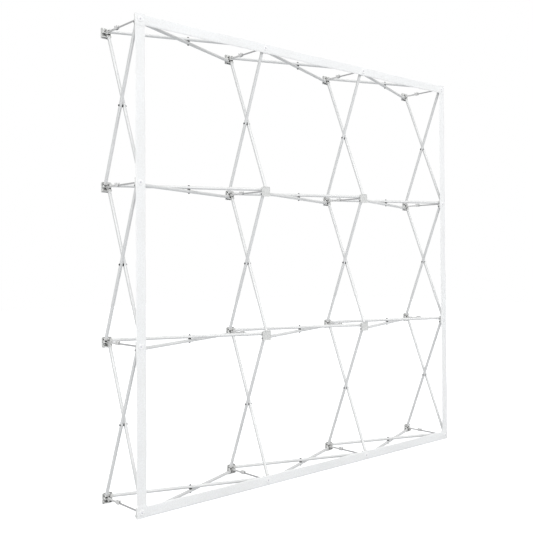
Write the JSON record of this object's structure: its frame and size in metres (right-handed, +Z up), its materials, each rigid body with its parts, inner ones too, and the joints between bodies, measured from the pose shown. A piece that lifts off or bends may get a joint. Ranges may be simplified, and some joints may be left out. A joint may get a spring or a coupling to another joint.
{
  "type": "pop-up display backwall frame",
  "caption": "Straight pop-up display backwall frame: a three by three lattice of scissor tubes between front and rear hubs, with locking links and a front hook-and-loop band.",
  "frame": {"origin": "on the floor, in the middle of the frame's width and depth", "axes": "+X along the wall to the right seen from the display side, -Y towards the display side, +Z up"},
  "size_m": [2.255, 0.3194, 2.255],
  "materials": {
    "hub_plastic": "moulded light grey plastic, fine satin",
    "tube_aluminium": "drawn tube, silver grey, satin",
    "tube_end_plastic": "moulded light grey plastic",
    "dark_steel": "blackened steel",
    "washer_black": "black nylon",
    "band_fabric": "white brushed loop tape",
    "band_washer_white": "white moulded plastic",
    "link_steel": "drawn steel rod, grey",
    "catch_plastic": "moulded light grey plastic"
  },
  "bodies": {
    "lattice": {"front_hubs_row_1": "hub_plastic", "front_hubs_row_2": "hub_plastic", "front_hubs_row_3": "hub_plastic", "front_hubs_row_4": "hub_plastic", "rear_hubs_row_1": "hub_plastic", "rear_hubs_row_2": "hub_plastic", "rear_hubs_row_3": "hub_plastic", "rear_hubs_row_4": "hub_plastic", "level_tubes_row_1": "tube_aluminium", "level_tubes_row_2": "tube_aluminium", "level_tubes_row_3": "tube_aluminium", "level_tubes_row_4": "tube_aluminium", "upright_tubes_column_1": "tube_aluminium", "upright_tubes_column_2": "tube_aluminium", "upright_tubes_column_3": "tube_aluminium", "upright_tubes_column_4": "tube_aluminium", "level_tube_ends": "tube_end_plastic", "upright_tube_ends": "tube_end_plastic", "hub_hinge_pins": "dark_steel", "link_pivot_pins": "dark_steel", "crossing_rivets": "dark_steel", "crossing_washers": "washer_black", "band_top": "band_fabric", "band_bottom": "band_fabric", "band_left": "band_fabric", "band_right": "band_fabric", "band_washers": "band_washer_white", "band_screws": "dark_steel"},
    "rod_row_1_column_1": {"link_rod_row_1_column_1": "link_steel"},
    "rod_row_1_column_2": {"link_rod_row_1_column_2": "link_steel"},
    "rod_row_1_column_3": {"link_rod_row_1_column_3": "link_steel"},
    "rod_row_1_column_4": {"link_rod_row_1_column_4": "link_steel"},
    "rod_row_2_column_1": {"link_rod_row_2_column_1": "link_steel"},
    "rod_row_2_column_2": {"link_rod_row_2_column_2": "link_steel"},
    "rod_row_2_column_3": {"link_rod_row_2_column_3": "link_steel"},
    "rod_row_2_column_4": {"link_rod_row_2_column_4": "link_steel"},
    "rod_row_3_column_1": {"link_rod_row_3_column_1": "link_steel"},
    "rod_row_3_column_2": {"link_rod_row_3_column_2": "link_steel"},
    "rod_row_3_column_3": {"link_rod_row_3_column_3": "link_steel"},
    "rod_row_3_column_4": {"link_rod_row_3_column_4": "link_steel"},
    "rod_row_4_column_1": {"link_rod_row_4_column_1": "link_steel"},
    "rod_row_4_column_2": {"link_rod_row_4_column_2": "link_steel"},
    "rod_row_4_column_3": {"link_rod_row_4_column_3": "link_steel"},
    "rod_row_4_column_4": {"link_rod_row_4_column_4": "link_steel"},
    "catch_row_1_column_1": {"catch_arm_row_1_column_1": "catch_plastic"},
    "catch_row_1_column_2": {"catch_arm_row_1_column_2": "catch_plastic"},
    "catch_row_1_column_3": {"catch_arm_row_1_column_3": "catch_plastic"},
    "catch_row_1_column_4": {"catch_arm_row_1_column_4": "catch_plastic"},
    "catch_row_2_column_1": {"catch_arm_row_2_column_1": "catch_plastic"},
    "catch_row_2_column_2": {"catch_arm_row_2_column_2": "catch_plastic"},
    "catch_row_2_column_3": {"catch_arm_row_2_column_3": "catch_plastic"},
    "catch_row_2_column_4": {"catch_arm_row_2_column_4": "catch_plastic"},
    "catch_row_3_column_1": {"catch_arm_row_3_column_1": "catch_plastic"},
    "catch_row_3_column_2": {"catch_arm_row_3_column_2": "catch_plastic"},
    "catch_row_3_column_3": {"catch_arm_row_3_column_3": "catch_plastic"},
    "catch_row_3_column_4": {"catch_arm_row_3_column_4": "catch_plastic"},
    "catch_row_4_column_1": {"catch_arm_row_4_column_1": "catch_plastic"},
    "catch_row_4_column_2": {"catch_arm_row_4_column_2": "catch_plastic"},
    "catch_row_4_column_3": {"catch_arm_row_4_column_3": "catch_plastic"},
    "catch_row_4_column_4": {"catch_arm_row_4_column_4": "catch_plastic"}
  },
  "joints": [
    {"name": "rod_hinge_row_1_column_1", "type": "hinge", "parent": "lattice", "child": "rod_row_1_column_1", "pos_m": [-1.106, -0.1318, 0.026], "axis": [1, 0, 0], "range_deg": [0, 75]},
    {"name": "rod_hinge_row_1_column_2", "type": "hinge", "parent": "lattice", "child": "rod_row_1_column_2", "pos_m": [-0.371, -0.1318, 0.026], "axis": [1, 0, 0], "range_deg": [0, 75]},
    {"name": "rod_hinge_row_1_column_3", "type": "hinge", "parent": "lattice", "child": "rod_row_1_column_3", "pos_m": [0.364, -0.1318, 0.026], "axis": [1, 0, 0], "range_deg": [0, 75]},
    {"name": "rod_hinge_row_1_column_4", "type": "hinge", "parent": "lattice", "child": "rod_row_1_column_4", "pos_m": [1.099, -0.1318, 0.026], "axis": [1, 0, 0], "range_deg": [0, 75]},
    {"name": "rod_hinge_row_2_column_1", "type": "hinge", "parent": "lattice", "child": "rod_row_2_column_1", "pos_m": [-1.106, -0.1318, 0.761], "axis": [1, 0, 0], "range_deg": [0, 75]},
    {"name": "rod_hinge_row_2_column_2", "type": "hinge", "parent": "lattice", "child": "rod_row_2_column_2", "pos_m": [-0.371, -0.1318, 0.761], "axis": [1, 0, 0], "range_deg": [0, 75]},
    {"name": "rod_hinge_row_2_column_3", "type": "hinge", "parent": "lattice", "child": "rod_row_2_column_3", "pos_m": [0.364, -0.1318, 0.761], "axis": [1, 0, 0], "range_deg": [0, 75]},
    {"name": "rod_hinge_row_2_column_4", "type": "hinge", "parent": "lattice", "child": "rod_row_2_column_4", "pos_m": [1.099, -0.1318, 0.761], "axis": [1, 0, 0], "range_deg": [0, 75]},
    {"name": "rod_hinge_row_3_column_1", "type": "hinge", "parent": "lattice", "child": "rod_row_3_column_1", "pos_m": [-1.106, -0.1318, 1.496], "axis": [1, 0, 0], "range_deg": [0, 75]},
    {"name": "rod_hinge_row_3_column_2", "type": "hinge", "parent": "lattice", "child": "rod_row_3_column_2", "pos_m": [-0.371, -0.1318, 1.496], "axis": [1, 0, 0], "range_deg": [0, 75]},
    {"name": "rod_hinge_row_3_column_3", "type": "hinge", "parent": "lattice", "child": "rod_row_3_column_3", "pos_m": [0.364, -0.1318, 1.496], "axis": [1, 0, 0], "range_deg": [0, 75]},
    {"name": "rod_hinge_row_3_column_4", "type": "hinge", "parent": "lattice", "child": "rod_row_3_column_4", "pos_m": [1.099, -0.1318, 1.496], "axis": [1, 0, 0], "range_deg": [0, 75]},
    {"name": "rod_hinge_row_4_column_1", "type": "hinge", "parent": "lattice", "child": "rod_row_4_column_1", "pos_m": [-1.106, -0.1318, 2.231], "axis": [1, 0, 0], "range_deg": [0, 75]},
    {"name": "rod_hinge_row_4_column_2", "type": "hinge", "parent": "lattice", "child": "rod_row_4_column_2", "pos_m": [-0.371, -0.1318, 2.231], "axis": [1, 0, 0], "range_deg": [0, 75]},
    {"name": "rod_hinge_row_4_column_3", "type": "hinge", "parent": "lattice", "child": "rod_row_4_column_3", "pos_m": [0.364, -0.1318, 2.231], "axis": [1, 0, 0], "range_deg": [0, 75]},
    {"name": "rod_hinge_row_4_column_4", "type": "hinge", "parent": "lattice", "child": "rod_row_4_column_4", "pos_m": [1.099, -0.1318, 2.231], "axis": [1, 0, 0], "range_deg": [0, 75]},
    {"name": "catch_hinge_row_1_column_1", "type": "hinge", "parent": "lattice", "child": "catch_row_1_column_1", "pos_m": [-1.106, 0.1372, 0.026], "axis": [-1, 0, 0], "range_deg": [0, 55]},
    {"name": "catch_hinge_row_1_column_2", "type": "hinge", "parent": "lattice", "child": "catch_row_1_column_2", "pos_m": [-0.371, 0.1372, 0.026], "axis": [-1, 0, 0], "range_deg": [0, 55]},
    {"name": "catch_hinge_row_1_column_3", "type": "hinge", "parent": "lattice", "child": "catch_row_1_column_3", "pos_m": [0.364, 0.1372, 0.026], "axis": [-1, 0, 0], "range_deg": [0, 55]},
    {"name": "catch_hinge_row_1_column_4", "type": "hinge", "parent": "lattice", "child": "catch_row_1_column_4", "pos_m": [1.099, 0.1372, 0.026], "axis": [-1, 0, 0], "range_deg": [0, 55]},
    {"name": "catch_hinge_row_2_column_1", "type": "hinge", "parent": "lattice", "child": "catch_row_2_column_1", "pos_m": [-1.106, 0.1372, 0.761], "axis": [-1, 0, 0], "range_deg": [0, 55]},
    {"name": "catch_hinge_row_2_column_2", "type": "hinge", "parent": "lattice", "child": "catch_row_2_column_2", "pos_m": [-0.371, 0.1372, 0.761], "axis": [-1, 0, 0], "range_deg": [0, 55]},
    {"name": "catch_hinge_row_2_column_3", "type": "hinge", "parent": "lattice", "child": "catch_row_2_column_3", "pos_m": [0.364, 0.1372, 0.761], "axis": [-1, 0, 0], "range_deg": [0, 55]},
    {"name": "catch_hinge_row_2_column_4", "type": "hinge", "parent": "lattice", "child": "catch_row_2_column_4", "pos_m": [1.099, 0.1372, 0.761], "axis": [-1, 0, 0], "range_deg": [0, 55]},
    {"name": "catch_hinge_row_3_column_1", "type": "hinge", "parent": "lattice", "child": "catch_row_3_column_1", "pos_m": [-1.106, 0.1372, 1.496], "axis": [-1, 0, 0], "range_deg": [0, 55]},
    {"name": "catch_hinge_row_3_column_2", "type": "hinge", "parent": "lattice", "child": "catch_row_3_column_2", "pos_m": [-0.371, 0.1372, 1.496], "axis": [-1, 0, 0], "range_deg": [0, 55]},
    {"name": "catch_hinge_row_3_column_3", "type": "hinge", "parent": "lattice", "child": "catch_row_3_column_3", "pos_m": [0.364, 0.1372, 1.496], "axis": [-1, 0, 0], "range_deg": [0, 55]},
    {"name": "catch_hinge_row_3_column_4", "type": "hinge", "parent": "lattice", "child": "catch_row_3_column_4", "pos_m": [1.099, 0.1372, 1.496], "axis": [-1, 0, 0], "range_deg": [0, 55]},
    {"name": "catch_hinge_row_4_column_1", "type": "hinge", "parent": "lattice", "child": "catch_row_4_column_1", "pos_m": [-1.106, 0.1372, 2.231], "axis": [-1, 0, 0], "range_deg": [0, 55]},
    {"name": "catch_hinge_row_4_column_2", "type": "hinge", "parent": "lattice", "child": "catch_row_4_column_2", "pos_m": [-0.371, 0.1372, 2.231], "axis": [-1, 0, 0], "range_deg": [0, 55]},
    {"name": "catch_hinge_row_4_column_3", "type": "hinge", "parent": "lattice", "child": "catch_row_4_column_3", "pos_m": [0.364, 0.1372, 2.231], "axis": [-1, 0, 0], "range_deg": [0, 55]},
    {"name": "catch_hinge_row_4_column_4", "type": "hinge", "parent": "lattice", "child": "catch_row_4_column_4", "pos_m": [1.099, 0.1372, 2.231], "axis": [-1, 0, 0], "range_deg": [0, 55]}
  ]
}
